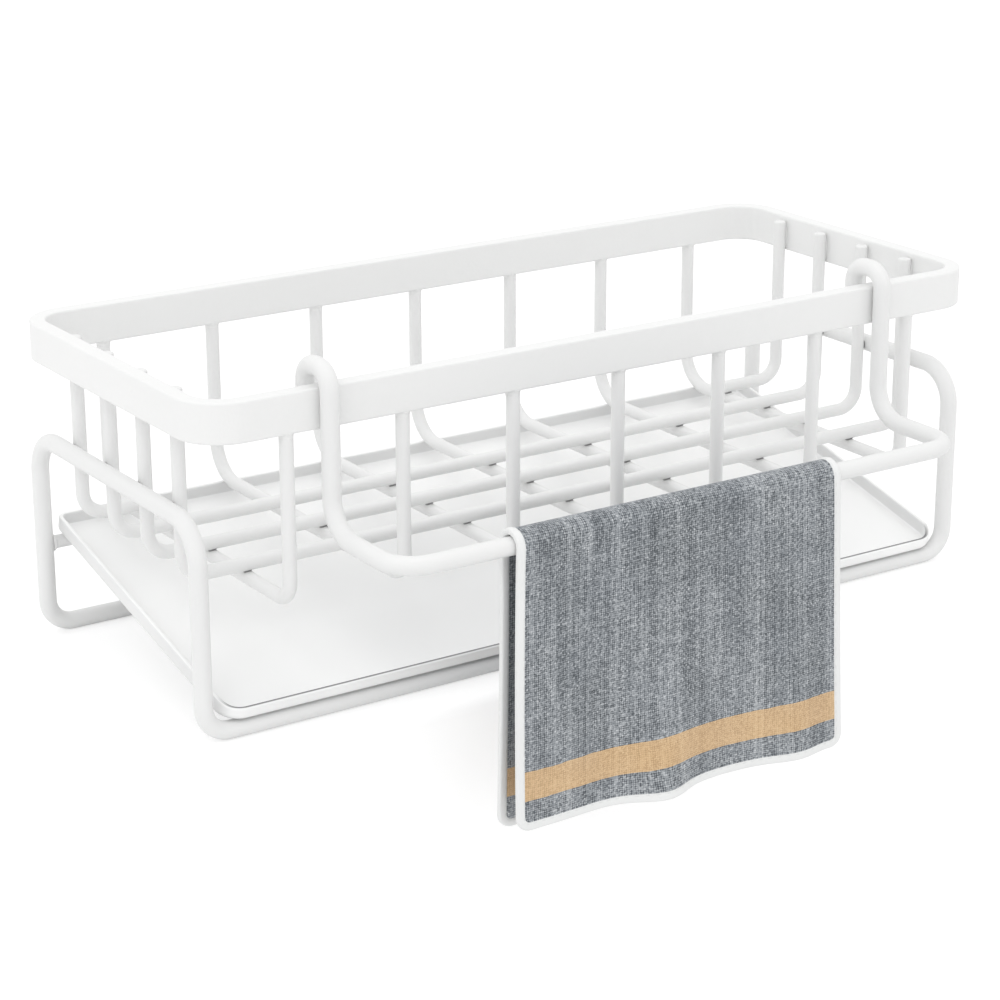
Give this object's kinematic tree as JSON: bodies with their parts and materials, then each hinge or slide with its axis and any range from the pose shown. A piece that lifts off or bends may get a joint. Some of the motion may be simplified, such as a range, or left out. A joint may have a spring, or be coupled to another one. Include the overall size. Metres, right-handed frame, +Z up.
{
  "type": "kitchen sink caddy",
  "caption": "Coated wire basket on a raised wire stand, with a sloping slide-out drip tray and a lift-off front hanger holding a folded towel.",
  "frame": {"origin": "on the counter, under the middle of the basket", "axes": "+X along the length, to the right when seen from the towel side; +Y to the rear; +Z up"},
  "size_m": [0.258, 0.1546, 0.1254],
  "materials": {
    "coated_band": "white powder coat, satin",
    "coated_wire": "white powder coat, satin",
    "tray_plastic": "white moulded plastic, soft gloss",
    "towel_cloth": "grey melange woven cloth with one tan stripe",
    "towel_tape": "white sewn edge tape"
  },
  "bodies": {
    "caddy": {"rim_band": "coated_band", "cross_wire_1": "coated_wire", "cross_wire_2": "coated_wire", "cross_wire_3": "coated_wire", "cross_wire_4": "coated_wire", "cross_wire_5": "coated_wire", "cross_wire_6": "coated_wire", "cross_wire_7": "coated_wire", "long_wire_1": "coated_wire", "long_wire_2": "coated_wire", "long_wire_3": "coated_wire", "end_wire_left": "coated_wire", "end_wire_right": "coated_wire", "stand_frame": "coated_wire", "tray_support_wire": "coated_wire"},
    "tray": {"drip_tray": "tray_plastic"},
    "hanger": {"towel_hanger": "coated_wire"},
    "towel": {"towel": "towel_cloth", "towel_binding": "towel_tape"}
  },
  "joints": [
    {"name": "tray_slide", "type": "slide", "parent": "caddy", "child": "tray", "axis": [0, -0.9696, -0.2448], "range_m": [0, 0.03]},
    {"name": "hanger_lift", "type": "slide", "parent": "caddy", "child": "hanger", "axis": [0, 0, 1], "range_m": [0, 0.012]},
    {"name": "towel_lift", "type": "slide", "parent": "hanger", "child": "towel", "axis": [0, 0, 1], "range_m": [0, 0.085]}
  ]
}
